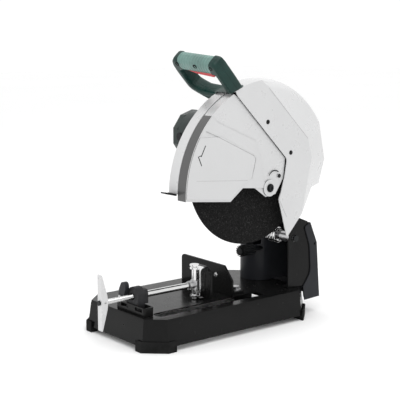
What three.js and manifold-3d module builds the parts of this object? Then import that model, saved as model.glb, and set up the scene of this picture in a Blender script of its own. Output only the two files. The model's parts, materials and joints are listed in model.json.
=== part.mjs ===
// Abrasive chop saw with a 355 mm disc, in millimetres.
// +X is the side that the disc is on, +Y the rear, +Z up. The drawing frame has its floor at Z = 0,
// its X = 0 on the centre of the base, and is moved along Y at the end so that the whole saw is centred.
import * as THREE from 'three';
import { mergeVertices } from 'three/addons/utils/BufferGeometryUtils.js';
import { ConvexGeometry } from 'three/addons/geometries/ConvexGeometry.js';
import Module from 'manifold-3d';

const wasm = await Module();
wasm.setup();

// ---- driving dimensions ------------------------------------------------------------------------
const CENTRE_SHIFT = -7.75;             // moves the drawing frame so that the saw is centred along Y
const GAP = 0.3;                      // left between pieces that touch
const SHEET = 2.5;                    // pressed steel of the base

const BASE = { halfWidth: 137, front: -248.6, rear: 222, top: 72.4, creaseZ: 40, lipZ: 12 };
const CHAMFER = { x: 33.2, y: 37.8 };  // cut corners of the base's top
const FLARE = { crease: 5, lip: 9 };  // how far the skirt stands out below the top
const DECK = BASE.top + GAP;          // where pieces stand on the base
const DISC_SLOT = { left: 80, right: 112, front: -212, rear: 96 };

const PIVOT = { y: 197, z: 194 };     // the head tilts about X here
const DISC = { x: 85, y: 66.5, z: 373.3, r: 177.5, half: 1.5 };
const MOTOR = { y: 58.3, z: 437.2, r: 60 };
const GUARD = { y: 107.3, z: 326.4, r: 249.5 };  // pivot of the lower guard, and the hood's rim
const HOOD = { left: 54, split: 85, right: 115, sheet: 1.5 };

const FENCE = { face: 22.5, thick: 5, left: -113, right: 79, top: 143, pivotX: 50, pivotY: 58 };
const FENCE_SWING = Math.PI / 6;
const FENCE_CLAMP_RADIUS = 120;
const SCREW = { x: 42, z: 108, thin: 6, thick: 7.5, hubY: -319, endY: -68 };
const JAW = { pinY: -60, pinR: 6, left: 8, right: 76, face: -34, top: 150 };

const GEAR = { teeth: 36, pinionTeeth: 10, module: 2.8, x0: 26, x1: 38 };

// ---- materials ---------------------------------------------------------------------------------
function finish(color, roughness, metalness) {
  return new THREE.MeshStandardMaterial({ color, roughness, metalness });
}
const BLACK_PAINT = finish(0x17181b, 0.35, 0.2);
const GREY_PAINT = finish(0x707278, 0.45, 0.3);
const RUBBER = finish(0x1b1b1c, 0.9, 0);
const CHROME = finish(0xd5d7d9, 0.15, 1);
const STEEL = finish(0x9a9c9f, 0.4, 1);
const SILVER_PAINT = finish(0xe9eaeb, 0.35, 0.3);
const DARK_SILVER = finish(0x77797b, 0.5, 0.4);
const GREEN_PLASTIC = finish(0x1d4a40, 0.5, 0);
const DARK_PLASTIC = finish(0x2b2f31, 0.6, 0);
const RED_PLASTIC = finish(0xb3202c, 0.45, 0);
const ABRASIVE = finish(0x3a3a3d, 0.95, 0);
const CAST = finish(0x232528, 0.6, 0.4);
const COPPER = finish(0xa45a33, 0.4, 0.8);

// ---- solids ------------------------------------------------------------------------------------
const X_AXIS = new THREE.Vector3(1, 0, 0);
const Y_AXIS = new THREE.Vector3(0, 1, 0);
const Z_AXIS = new THREE.Vector3(0, 0, 1);

function solid(geometry) {
  const bare = geometry.clone();
  bare.deleteAttribute('normal');
  bare.deleteAttribute('uv');
  const merged = mergeVertices(bare, 1e-4);
  const vertProperties = Float32Array.from(merged.attributes.position.array);
  const triVerts = Uint32Array.from(merged.index.array);
  return new wasm.Manifold(new wasm.Mesh({ numProp: 3, vertProperties, triVerts }));
}

function geometryOf(shape) {
  const mesh = shape.getMesh();
  const geometry = new THREE.BufferGeometry();
  geometry.setAttribute('position', new THREE.BufferAttribute(Float32Array.from(mesh.vertProperties), 3));
  geometry.setIndex(new THREE.BufferAttribute(Uint32Array.from(mesh.triVerts), 1));
  return geometry;
}

function join(...shapes) {
  return shapes.reduce((whole, next) => whole.add(next));
}

function cut(shape, ...tools) {
  return tools.reduce((left, tool) => left.subtract(tool), shape);
}

function box(x0, x1, y0, y1, z0, z1) {
  const geometry = new THREE.BoxGeometry(x1 - x0, y1 - y0, z1 - z0);
  geometry.translate((x0 + x1) / 2, (y0 + y1) / 2, (z0 + z1) / 2);
  return solid(geometry);
}

// An outline of [u, v] or [u, v, radius] points, with the corners that have a radius rounded.
function outline(points) {
  const shape = new THREE.Shape();
  const count = points.length;
  points.forEach(([u, v, radius = 0], i) => {
    const here = new THREE.Vector2(u, v);
    if (radius === 0) {
      if (i === 0) shape.moveTo(u, v);
      else shape.lineTo(u, v);
      return;
    }
    const before = new THREE.Vector2(...points[(i + count - 1) % count].slice(0, 2));
    const after = new THREE.Vector2(...points[(i + 1) % count].slice(0, 2));
    const start = here.clone().add(before.sub(here).setLength(radius));
    const end = here.clone().add(after.sub(here).setLength(radius));
    if (i === 0) shape.moveTo(start.x, start.y);
    else shape.lineTo(start.x, start.y);
    shape.quadraticCurveTo(u, v, end.x, end.y);
  });
  shape.closePath();
  return shape;
}

function extrusion(shape, depth, basis, offset, curveSegments = 3) {
  const geometry = new THREE.ExtrudeGeometry(shape, { depth, bevelEnabled: false, curveSegments, steps: 1 });
  geometry.applyMatrix4(basis);
  geometry.translate(offset.x, offset.y, offset.z);
  return solid(geometry);
}

function asShape(points) {
  return points instanceof THREE.Shape ? points : outline(points);
}

// Prisms: outlines of [y, z] along X, of [x, z] along Y, and of [x, y] along Z.
function prismX(points, x0, x1, curveSegments) {
  const basis = new THREE.Matrix4().makeBasis(Y_AXIS, Z_AXIS, X_AXIS);
  return extrusion(asShape(points), x1 - x0, basis, new THREE.Vector3(x0, 0, 0), curveSegments);
}

function prismY(points, y0, y1, curveSegments) {
  const basis = new THREE.Matrix4().makeBasis(X_AXIS, Z_AXIS, Y_AXIS.clone().negate());
  return extrusion(asShape(points), y1 - y0, basis, new THREE.Vector3(0, y1, 0), curveSegments);
}

function prismZ(points, z0, z1, curveSegments) {
  const basis = new THREE.Matrix4();
  return extrusion(asShape(points), z1 - z0, basis, new THREE.Vector3(0, 0, z0), curveSegments);
}

// Round bars along X, Y and Z: centre, radius, ends and number of sides.
function barX(y, z, r, x0, x1, sides = 18) {
  const geometry = new THREE.CylinderGeometry(r, r, x1 - x0, sides);
  geometry.rotateZ(-Math.PI / 2);
  geometry.translate((x0 + x1) / 2, y, z);
  return solid(geometry);
}

function barY(x, z, r, y0, y1, sides = 18) {
  const geometry = new THREE.CylinderGeometry(r, r, y1 - y0, sides);
  geometry.translate(x, (y0 + y1) / 2, z);
  return solid(geometry);
}

function barZ(x, y, r, z0, z1, sides = 18) {
  const geometry = new THREE.CylinderGeometry(r, r, z1 - z0, sides);
  geometry.rotateX(Math.PI / 2);
  geometry.translate(x, y, (z0 + z1) / 2);
  return solid(geometry);
}

function ringX(y, z, outer, inner, x0, x1, sides = 18) {
  return cut(barX(y, z, outer, x0, x1, sides), barX(y, z, inner, x0 - 1, x1 + 1, sides));
}

// A solid through flat rings of points, one above the other, with the same count in each.
function loft(rings) {
  const count = rings[0].length;
  const positions = rings.flat().flat();
  const index = [];
  for (let ring = 0; ring + 1 < rings.length; ring += 1) {
    for (let i = 0; i < count; i += 1) {
      const a = ring * count + i;
      const b = ring * count + (i + 1) % count;
      index.push(a, b, b + count, a, b + count, a + count);
    }
  }
  const top = (rings.length - 1) * count;
  for (let i = 1; i + 1 < count; i += 1) {
    index.push(0, i + 1, i);
    index.push(top, top + i, top + i + 1);
  }
  const geometry = new THREE.BufferGeometry();
  geometry.setAttribute('position', new THREE.Float32BufferAttribute(positions, 3));
  geometry.setIndex(index);
  return solid(geometry);
}

function hull(points) {
  return solid(new ConvexGeometry(points.map((p) => new THREE.Vector3(...p))));
}

// ---- assembly ----------------------------------------------------------------------------------
const saw = new THREE.Group();
saw.position.y = CENTRE_SHIFT;

function group(parent = saw) {
  const made = new THREE.Group();
  parent.add(made);
  return made;
}

function place(parent, name, shape, material) {
  const mesh = new THREE.Mesh(geometryOf(shape), material);
  mesh.name = name;
  parent.add(mesh);
  return mesh;
}

// ---- base --------------------------------------------------------------------------------------
const base = group();

// The base's plan, eight-sided with cut corners, `grow` outside the edge of its top.
function basePlan(grow) {
  const x = BASE.halfWidth + grow;
  const y0 = BASE.front - grow;
  const y1 = BASE.rear + grow;
  const cx = CHAMFER.x + grow * 0.6;
  const cy = CHAMFER.y + grow * 0.6;
  return [[x - cx, y0], [x, y0 + cy], [x, y1 - cy], [x - cx, y1],
    [cx - x, y1], [-x, y1 - cy], [-x, y0 + cy], [cx - x, y0]];
}

function baseRing(grow, z) {
  return basePlan(grow).map(([x, y]) => [x, y, z]);
}

function baseSolid(inset, bottom, top) {
  return loft([
    baseRing(FLARE.lip - inset, bottom),
    baseRing(FLARE.crease + 1 - inset, BASE.creaseZ - 6),
    baseRing(FLARE.crease - inset, BASE.creaseZ),
    baseRing(2 - inset, BASE.top - 8),
    baseRing(-inset, top),
  ]);
}

function fenceClampPath(angle, radius) {
  return [FENCE.pivotX - radius * Math.cos(angle), FENCE.pivotY + radius * Math.sin(angle)];
}

// The curved slot that the fence's clamp bolt travels in.
function fenceSlot(halfWidth) {
  const inner = [];
  const outer = [];
  for (let i = 0; i <= 6; i += 1) {
    const angle = -0.07 + (FENCE_SWING + 0.14) * i / 6;
    inner.push(fenceClampPath(angle, FENCE_CLAMP_RADIUS - halfWidth));
    outer.unshift(fenceClampPath(angle, FENCE_CLAMP_RADIUS + halfWidth));
  }
  return prismZ([...inner, ...outer], BASE.lipZ, BASE.top + 5);
}

function discSlot() {
  const { left, right, front, rear } = DISC_SLOT;
  return prismZ([[left, front, 14], [right, front, 14], [right, rear, 6], [left, rear, 6]],
    BASE.lipZ, BASE.top + 5);
}

function makeBase() {
  const shell = cut(baseSolid(0, BASE.lipZ, BASE.top), baseSolid(SHEET, BASE.lipZ - 0.01, BASE.top - SHEET),
    box(-110, 110, BASE.front + 20, BASE.rear - 20, BASE.lipZ - 1, BASE.lipZ + 1));
  const earBoltHole = barZ(93, 205, 4.4, 60, 80, 12);
  place(base, 'base_tray', cut(shell, discSlot(), fenceSlot(6.5), earBoltHole), BLACK_PAINT);
}

// Each rubber foot wraps one cut corner of the base.
function makeFoot(name, sideX, sideY) {
  const height = 25;
  const outer = prismZ(basePlan(FLARE.lip + 4), 0, height);
  const seat = prismZ(basePlan(FLARE.lip + GAP), BASE.lipZ - GAP, height + 1);
  const edgeX = 88;
  const x0 = sideX > 0 ? edgeX : -170;
  const y0 = sideY > 0 ? 186 : -280;
  const y1 = sideY > 0 ? 250 : -194;
  const corner = box(x0, x0 + 170 - edgeX, y0, y1, -1, height + 1);
  place(base, name, cut(outer, seat).intersect(corner), RUBBER);
}

// ---- pedestal ----------------------------------------------------------------------------------
const NOSE = { x: -34, y: 205, r: 44, sheet: 3 };
const EAR = { left: 104, right: 108 };

function noseSlice(radius) {
  const shape = new THREE.Shape();
  shape.moveTo(NOSE.x + radius, 280);
  shape.lineTo(NOSE.x - radius, 280);
  shape.lineTo(NOSE.x - radius, NOSE.y);
  shape.absarc(NOSE.x, NOSE.y, radius, Math.PI, 2 * Math.PI, false);
  shape.closePath();
  return shape;
}

// The curved sheet: a round nose at the front, and two cheeks that carry the pivot shaft.
function makeNose() {
  const tube = cut(prismZ(noseSlice(NOSE.r), DECK, 245, 9),
    prismZ(noseSlice(NOSE.r - NOSE.sheet), DECK - 1, 246, 9));
  const side = prismX([[150, DECK], [150, 160], [184, 165], [189, 224, 6], [208, 237, 8], [234, 225, 8],
    [262, 174, 8], [270, DECK]], -90, 30);
  const shape = cut(tube.intersect(side),
    barX(PIVOT.y, PIVOT.z, 8.4, -90, 30), barY(0, 155, 6, 150, 200, 16));
  place(base, 'pedestal_nose', shape, GREY_PAINT);
}

// The plate on the disc side, bent at its foot, that carries the shaft's other end.
function makeEar() {
  const plate = prismX([[176, DECK], [176, 180], [186, 232, 8], [207, 244, 6], [239.5, 231, 4],
    [262.5, 175], [275, 60], [275, 42], [232, 42], [227, DECK]], EAR.left, EAR.right);
  const foot = box(84, EAR.left + 1, 182, 214, DECK, DECK + 4);
  const shape = cut(join(plate, foot), barX(PIVOT.y, PIVOT.z, 8.4, 100, 112), barZ(93, 205, 4.4, 70, 80, 12));
  place(base, 'ear_plate', shape, BLACK_PAINT);
}

// The slanted sheet across the back, and its flange over the ear plate.
function makeRearPlate() {
  const back = prismX([[281, 38], [269, 176], [246, 228], [243.6, 226.8], [266.3, 175.4], [278, 38]],
    -81, 111);
  const flange = prismX([[231, 36], [281, 38], [269, 176], [246, 228, 4], [227, 218, 5], [245, 171, 10],
    [250, 103, 14], [225, 70]], EAR.right + GAP, 111);
  const leftFlange = prismX([[250, 78], [277.7, 78], [269, 176], [254, 210], [240, 190]], -81, -78.5);
  const hole = barX(262, 173, 3.5, 100, 120, 12);
  place(base, 'rear_cover_plate', cut(join(back, flange, leftFlange), hole), GREY_PAINT);
}

const SPRING = { x: 18, pitch: 6.2, turns: 6, r: 17, wire: 2.2 };

// The coils of a torsion spring round the shaft.
function springPath() {
  const points = [];
  const steps = SPRING.turns * 12;
  for (let i = 0; i <= steps; i += 1) {
    const angle = i * Math.PI / 6;
    points.push(new THREE.Vector3(SPRING.x + SPRING.pitch * i / 12,
      PIVOT.y + SPRING.r * Math.cos(angle), PIVOT.z + SPRING.r * Math.sin(angle)));
  }
  return points;
}

function makeSpring() {
  const section = new THREE.Shape();
  section.absarc(0, 0, SPRING.wire, 0, 2 * Math.PI, false);
  const path = new THREE.CatmullRomCurve3(springPath());
  const geometry = new THREE.ExtrudeGeometry(section,
    { steps: 72, extrudePath: path, curveSegments: 3, bevelEnabled: false });
  place(base, 'return_spring', solid(geometry), CHROME);
}

function makeShaft() {
  place(base, 'pivot_shaft', barX(PIVOT.y, PIVOT.z, 8, -84, 108), STEEL);
  place(base, 'shaft_spacer', ringX(PIVOT.y, PIVOT.z, 12, 8.4, 64, 103.6), STEEL);
  place(base, 'pivot_bolt', barX(PIVOT.y, PIVOT.z, 8.5, 108.3, 113, 6), STEEL);
  const shank = barZ(93, 205, 4, 66, 78, 12);
  place(base, 'ear_base_bolt', join(shank, barZ(93, 205, 7.5, DECK + 4.3, DECK + 9.5, 6)), STEEL);
}

// ---- fence -------------------------------------------------------------------------------------
function makeFence(parent) {
  const { face, thick, left, right, top, pivotX, pivotY } = FENCE;
  const wall = prismY([[left, DECK], [right, DECK, 3], [right, 110, 3], [50, 142, 3], [left + 6, top, 3],
    [left, top - 6, 3]], face, face + thick);
  const foot = prismZ([[left, face + 1], [right - 12, face + 1], [right - 12, 74, 8], [left + 4, 74, 8]],
    DECK, DECK + 5);
  const shape = cut(join(wall, foot), barZ(pivotX, pivotY, 5.4, 60, 90, 16),
    barZ(pivotX - FENCE_CLAMP_RADIUS, pivotY, 5.4, 60, 90, 16), barY(23, 114, 3.5, 10, 40, 12));
  place(parent, 'fence', shape, BLACK_PAINT);
}

function deckBolt(x, y, under) {
  const head = barZ(x, y, 10, DECK + 5.3, DECK + 14, 6);
  const washer = barZ(x, y, 13, DECK + 5.3, DECK + 7.3, 20);
  return join(barZ(x, y, 5, under, DECK + 8, 16), washer, head);
}

// ---- vise --------------------------------------------------------------------------------------
function makeViseBlock() {
  const z = SCREW.z;
  const channel = cut(prismZ([[-15, -240, 6], [94, -240, 6], [94, -214, 6], [-15, -214, 6]], DECK, 92),
    box(-11, 90, -236.5, -217.5, 78, 93),
    box(4, 30, -245, -230, 81, 88.5),
    box(58, 84, -245, -230, 81, 88.5));
  place(base, 'vise_bracket', channel, BLACK_PAINT);
  const side = prismY([[20, 78.3], [64, 78.3], [64, 118, 4], [56, 131, 8], [38, 131, 8], [26, 121, 4],
    [20, 108, 4]], -236, -218);
  const rear = prismY([[24, 92.5], [60, 92.5], [60, 124, 10], [24, 124, 10]], -218.5, -205);
  const bore = barY(SCREW.x, z, SCREW.thick + 0.4, -250, -200, 24);
  place(base, 'nut_block', cut(join(side, rear), bore), CAST);
}

// The flat lever that lets go of the screw, on a pin along Y.
const LEVER = { x: 14, z: 104 };

function makeLever(parent) {
  const lobe = prismY([[6, 98, 5], [22, 98, 4], [33, 128, 5], [30, 139, 6], [16, 139, 7], [4, 116, 6]],
    -247, -236.6);
  const pin = join(barY(LEVER.x, LEVER.z, 3, -250, -218.3, 12), barY(LEVER.x, LEVER.z, 5, -251, -247.4, 12));
  place(base, 'lever_pin', join(pin, barY(LEVER.x, LEVER.z, 5.5, -236, -218.3, 16),
    box(LEVER.x, 19.7, -236, -218.3, 99, 109)), STEEL);
  place(parent, 'quick_release_lever', cut(lobe, barY(LEVER.x, LEVER.z, 3.4, -255, -220, 12)), GREY_PAINT);
}

function makeScrew(parent) {
  const { x, z, thin, thick, hubY, endY } = SCREW;
  const rod = join(barY(x, z, thin, hubY + 2.4, -205, 20), barY(x, z, thick, -206, endY - 11.3, 24));
  place(parent, 'vise_screw', join(rod, barY(x, z, 4, endY - 12, endY - 4.3, 16)), CHROME);
  const reach = 62.5;
  const web = box(x - 6, x + 6, hubY - 2, hubY, z - reach, z + reach);
  const side = [[hubY - 2, z - reach], [hubY, z - reach], [hubY + 14, z - 12, 8], [hubY + 14, z + 12, 8],
    [hubY, z + reach], [hubY - 2, z + reach]];
  const flanges = join(prismX(side, x - 8, x - 6), prismX(side, x + 6, x + 8));
  const top = barY(x, z + reach - 8, 2.6, hubY - 5, hubY + 3, 12);
  place(parent, 'crank_plate', cut(join(web, flanges), barY(x, z, 4.4, hubY - 5, hubY + 3, 16), top,
    barX(hubY + 8, z, 2.6, x - 12, x + 12, 12)), SILVER_PAINT);
  const bolt = join(barY(x, z, 4, hubY - 3, hubY + 2, 16), barY(x, z, 6, hubY - 5.5, hubY - 2.3, 6));
  place(parent, 'crank_bolt', bolt, DARK_PLASTIC);
}

function makeJawCarrier(parent) {
  const { x, z, endY } = SCREW;
  const hub = join(barZ(x, JAW.pinY, 9.5, z - 10, z + 10, 20), barY(x, z, 10, endY - 11, JAW.pinY, 20));
  const pinBore = barZ(x, JAW.pinY, JAW.pinR + GAP, 80, 140, 20);
  const tipBore = barY(x, z, 4.4, endY - 12, endY - 4, 16);
  const shape = cut(hub, pinBore, tipBore);
  place(parent, 'jaw_carrier', shape, STEEL);
  const pin = barZ(x, JAW.pinY, JAW.pinR, DECK + 1.5, 153, 20);
  place(parent, 'jaw_pin', join(pin, barZ(x, JAW.pinY, 11, 152.6, 156, 20)), CHROME);
}

function makeJaw(parent) {
  const x = SCREW.x;
  const plate = prismY([[JAW.left, 75, 3], [JAW.right, 75, 3], [JAW.right, JAW.top - 12, 8],
    [JAW.right - 18, JAW.top, 6], [JAW.left + 18, JAW.top, 6],
    [JAW.left, JAW.top - 12, 8]], JAW.face - 6, JAW.face);
  place(parent, 'jaw_plate', plate, BLACK_PAINT);
  const y0 = JAW.face - 6 - GAP;
  const web = box(x - 15, x + 15, y0 - 3, y0, 77, 149);
  const leftCheek = box(x - 15, x - 12.4, -56, y0 - 2, 77, 149);
  const rightCheek = box(x + 12.4, x + 15, -56, y0 - 2, 77, 149);
  const cheeks = join(leftCheek, rightCheek);
  const lug = (z) => join(
    box(x - 14, x + 14, JAW.pinY, y0 - 1, z, z + 4),
    barZ(x, JAW.pinY, 10.5, z, z + 4, 20));
  const lugs = join(lug(80), lug(145));
  const shape = cut(join(web, cheeks, lugs), barZ(x, JAW.pinY, JAW.pinR + GAP, 70, 160, 20));
  place(parent, 'jaw_yoke', shape, CHROME);
}

// ---- transport lock ----------------------------------------------------------------------------
function makeLockPin(parent) {
  const flutes = [];
  const count = 12;
  for (let i = 0; i < count * 2; i += 1) {
    const radius = i % 2 === 0 ? 14 : 12.4;
    const angle = i * Math.PI / count;
    flutes.push([radius * Math.cos(angle), 155 + radius * Math.sin(angle)]);
  }
  const knob = join(prismY(flutes, 119, 158), barY(0, 155, 10, 113, 120, 20));
  place(parent, 'transport_lock_pin', join(knob, barY(0, 155, 5, 157, 205, 16)), DARK_PLASTIC);
}

// ---- head: arm, gears and motor ----------------------------------------------------------------
const ARM = { left: -67.4, right: -0.6 };

function makeArm(parent) {
  const knuckle = barX(PIVOT.y, PIVOT.z, 22, ARM.left, ARM.right, 28);
  const lower = prismX([[178, 186], [214, 206], [196, 258], [168, 300], [110, 300], [124, 262]],
    ARM.left, ARM.right);
  const upper = prismX([[128, 254], [186, 262], [150, 330], [120, 372, 6], [20, 372, 6], [20, 340, 6],
    [84, 316, 10]], -60, 13.4);
  place(parent, 'arm_casting', cut(join(knuckle, lower, upper), barX(PIVOT.y, PIVOT.z, 8.4, -90, 20)), CAST);
}

function pairOutline(gearRadius, motorRadius, steps = 10) {
  const dy = MOTOR.y - DISC.y;
  const dz = MOTOR.z - DISC.z;
  const distance = Math.hypot(dy, dz);
  const lean = Math.atan2(dz, dy);
  const spread = Math.acos((gearRadius - motorRadius) / distance);
  const points = [];
  for (let i = 0; i <= steps; i += 1) {
    const angle = lean + spread + (2 * Math.PI - 2 * spread) * i / steps;
    points.push([DISC.y + gearRadius * Math.cos(angle), DISC.z + gearRadius * Math.sin(angle)]);
  }
  for (let i = 0; i <= steps; i += 1) {
    const angle = lean - spread + 2 * spread * i / steps;
    points.push([MOTOR.y + motorRadius * Math.cos(angle), MOTOR.z + motorRadius * Math.sin(angle)]);
  }
  return points;
}

function makeGearHousing(parent) {
  const body = prismX(pairOutline(58, 46), 14, 47.7);
  const cavity = prismX(pairOutline(54, 26), 17.5, 49);
  const seat = ringX(DISC.y, DISC.z, 20, 16.3, 17, 24);
  const bridge = prismX([[28, 476], [82, 476], [70, 500], [22, 538], [0, 525]], 16, 46);
  const button = barY(32, DISC.z, 6.4, 0, 16, 16);
  const shape = cut(join(cut(join(body, bridge), cavity), seat), barX(MOTOR.y, MOTOR.z, 7, 10, 20), button);
  place(parent, 'gear_housing', shape, CAST);
  const lid = join(prismX(pairOutline(58, 46), 48, 52), barX(DISC.y, DISC.z, 21, 39.5, 48.5));
  const lidShape = cut(lid, barX(DISC.y, DISC.z, 16.3, 39, 48), barX(DISC.y, DISC.z, 9, 38, 55));
  place(parent, 'gear_cover', lidShape, CAST);
  place(parent, 'spindle_bearing_rear', ringX(DISC.y, DISC.z, 16, 8.3, 17.8, 24), STEEL);
  place(parent, 'spindle_bearing_front', ringX(DISC.y, DISC.z, 16, 8.3, 40, 47.7), STEEL);
}

function gearOutline(y, z, teeth, root, tip, phase) {
  const points = [];
  const pitch = 2 * Math.PI / teeth;
  for (let i = 0; i < teeth; i += 1) {
    [[root, -0.3], [tip, -0.14], [tip, 0.14], [root, 0.3]].forEach(([radius, turn]) => {
      const angle = phase + (i + turn) * pitch;
      points.push([y + radius * Math.cos(angle), z + radius * Math.sin(angle)]);
    });
  }
  return points;
}

function makeSpindle(parent) {
  const { y, z, x, half } = DISC;
  place(parent, 'spindle', join(barX(y, z, 8, 18, 79), barX(y, z, 6, 78, 97)), STEEL);
  const lean = Math.atan2(MOTOR.z - z, MOTOR.y - y);
  const radius = GEAR.teeth * GEAR.module / 2;
  const gear = prismX(gearOutline(y, z, GEAR.teeth, radius - 3, radius + 1.8, lean), GEAR.x0, GEAR.x1);
  place(parent, 'drive_gear', cut(gear, barX(y, z, 8.3, 0, 60)), STEEL);
  const recessed = (x0, x1, face) => cut(
    barX(y, z, 38, x0, x1, 32),
    barX(y, z, 30, face - 0.8, face + 0.8, 32));
  place(parent, 'inner_flange', cut(recessed(x - half - 7, x - half - GAP, x - half - GAP),
    barX(y, z, 6.3, 60, 99), barX(y, z, 8.3, 70, 79.3)), STEEL);
  place(parent, 'outer_flange', cut(recessed(x + half + GAP, x + half + 7, x + half + GAP),
    barX(y, z, 6.3, 60, 99)), STEEL);
  place(parent, 'cutting_disc', cut(barX(y, z, DISC.r, x - half, x + half, 96), barX(y, z, 12.7, 80, 90, 24)),
    ABRASIVE);
  const nutFlats = barX(y, z, 11, x + half + 7.3, 104, 6);
  const nutCollar = barX(y, z, 15, x + half + 7.3, 96);
  place(parent, 'disc_nut', cut(join(nutFlats, nutCollar), barX(y, z, 6.3, 90, 98)), STEEL);
}

function makeMotor(parent, rotor) {
  const { y, z, r } = MOTOR;
  const shell = ringX(y, z, r, r - 3.5, -98, 13.7, 36);
  const brushHoles = barY(-88, z, 8.3, y - 70, y + 70, 16);
  const vents = [];
  for (let i = 0; i < 8; i += 1) {
    const slot = box(-12, 6, -3, 3, 50, 70);
    vents.push(slot.rotate([45 * i + 22.5, 0, 0]).translate([0, y, z]));
  }
  place(parent, 'motor_housing', cut(shell, brushHoles, ...vents), DARK_PLASTIC);
  place(parent, 'stator', ringX(y, z, 56, 27, -74, -22, 28), STEEL);
  const bush = (y0, y1, y2, y3) => join(barY(-88, z, 8, y0, y1, 16), barY(-88, z, 10, y2, y3, 16));
  place(parent, 'brush_cap_front', bush(y - 61, y - 20, y - 62.5, y - 60.4), DARK_PLASTIC);
  place(parent, 'brush_cap_rear', bush(y + 20, y + 61, y + 60.4, y + 62.5), DARK_PLASTIC);
  makeEndCap(parent);
  const shaft = barX(y, z, 6, -118, GEAR.x1 + 1);
  const core = barX(y, z, 25, -72, -24, 28);
  const commutator = barX(y, z, 14, -96, -80);
  const pinionRadius = GEAR.pinionTeeth * GEAR.module / 2;
  const lean = Math.atan2(DISC.z - z, DISC.y - y) + Math.PI / GEAR.pinionTeeth;
  const pinion = prismX(gearOutline(y, z, GEAR.pinionTeeth, pinionRadius - 2.6, pinionRadius + 1.6, lean),
    GEAR.x0, GEAR.x1);
  place(rotor, 'armature', join(shaft, core, commutator, pinion), COPPER);
  const hub = ringX(y, z, 12, 6.3, -16, 8);
  const blades = [];
  for (let i = 0; i < 9; i += 1) {
    blades.push(box(-14, 4, -1, 1, 11, 47).rotate([40 * i, 0, 0]).translate([0, y, z]));
  }
  place(rotor, 'motor_fan', join(hub, ringX(y, z, 47, 11.5, -16, -13.5, 28), ...blades), DARK_PLASTIC);
}

// The motor's faceted end cap, hollow, with cooling slots in its face.
function makeEndCap(parent) {
  const { y, z, r } = MOTOR;
  const sides = 10;
  const ringAt = (x, radius) => Array.from({ length: sides }, (_, i) => {
    const angle = (i + 0.5) * 2 * Math.PI / sides;
    return [x, y + radius * Math.cos(angle), z + radius * Math.sin(angle)];
  });
  const body = hull([...ringAt(-98.3, r + 1), ...ringAt(-116, r + 1), ...ringAt(-135, r - 20)]);
  const inside = hull([...ringAt(-98, r - 3), ...ringAt(-115, r - 3), ...ringAt(-131.5, r - 23)]);
  const seat = ringX(y, z, 12, 6.4, -133, -110);
  const slots = [];
  for (let i = -2; i <= 2; i += 1) {
    slots.push(box(-140, -126, y - 24, y + 24, z + i * 12 - 2.5, z + i * 12 + 2.5));
  }
  const shape = cut(join(cut(body, inside, ...slots), seat), barY(-112, z - 26, 8.3, y + 30, y + 70, 16));
  place(parent, 'motor_end_cap', shape, DARK_PLASTIC);
  const glandStem = barY(-112, z - 26, 8, y + 40, y + 66, 16);
  const glandHead = barY(-112, z - 26, 11, y + 61, y + 74, 16);
  const gland = cut(join(glandStem, glandHead), barY(-112, z - 26, 4, y + 38, y + 76, 12));
  place(parent, 'cable_gland', gland, RUBBER);
}

// ---- hood --------------------------------------------------------------------------------------
function onRim(radius, degrees) {
  const angle = degrees * Math.PI / 180;
  return [GUARD.y + radius * Math.cos(angle), GUARD.z + radius * Math.sin(angle)];
}

function rimArc(radius, from, to, steps) {
  return Array.from({ length: steps + 1 }, (_, i) => onRim(radius, from + (to - from) * i / steps));
}

// A wedge of the rim: between two radii and two angles about the guard's pivot.
function rimBand(outer, inner, from, to, x0, x1, steps = 12) {
  return prismX([...rimArc(outer, from, to, steps), ...rimArc(inner, to, from, steps)], x0, x1);
}

const SEAM = 115.9;                   // angle of the seam between the hood's front and rear halves
const GUARD_TOP = 135;                // angle of the top of the lower guard's rim
const LEFT_FOOT = [-142, 333];

function makeLeftShell(parent) {
  const r = GUARD.r;
  const t = HOOD.sheet;
  const rim = rimBand(r, r - t, 178.5, SEAM + 0.3, HOOD.left, HOOD.split, 14);
  const frontWall = [...rimArc(r, 178.5, SEAM + 0.3, 14), ...rimArc(r - 2, SEAM - 2, 36, 14),
    [334, 372], [313, 318], [262, 276], [222, 262], [172, 292], [120, 270], [46, 284], [-45, 352]];
  const wall = prismX(frontWall, HOOD.left, HOOD.left + t);
  const opening = barX(DISC.y, DISC.z, 30, 50, 60, 32);
  const lip = prismX([LEFT_FOOT, [LEFT_FOOT[0] + 1.5, 333], [-126, 333], [-126, 334.5], [-142, 334.5]],
    HOOD.left, HOOD.split);
  place(parent, 'hood_left_shell', cut(join(rim, wall, lip), opening), SILVER_PAINT);
}

// The rear half of the hood: a flat outer panel that bevels back to the rim.
const REAR = { face: 117.3, rim: 253, sheet: 2 };
const REAR_PANEL = [...rimArc(REAR.rim, 148, 97.5, 8),
  [102, 559], [227, 433], [240, 390], [210, 255], [162, 205]];

function rearVolume(inset) {
  const edge = [...rimArc(REAR.rim - inset, 148, 33, 18), [340 - inset, 372], [319 - inset, 305],
    [262 - inset, 226], [60, 60]];
  const rim = edge.flatMap(([y, z]) => [[HOOD.left - inset, y, z], [HOOD.left + 8, y, z]]);
  const centre = [110, 400];
  const panel = REAR_PANEL.map(([y, z]) => {
    const dy = y - centre[0];
    const dz = z - centre[1];
    const shrink = 1 - inset / Math.hypot(dy, dz);
    return [REAR.face - inset, centre[0] + dy * shrink, centre[1] + dz * shrink];
  });
  const extra = [[REAR.face - inset, 60, 60]];
  return hull([...rim, ...panel, ...extra]);
}

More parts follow.
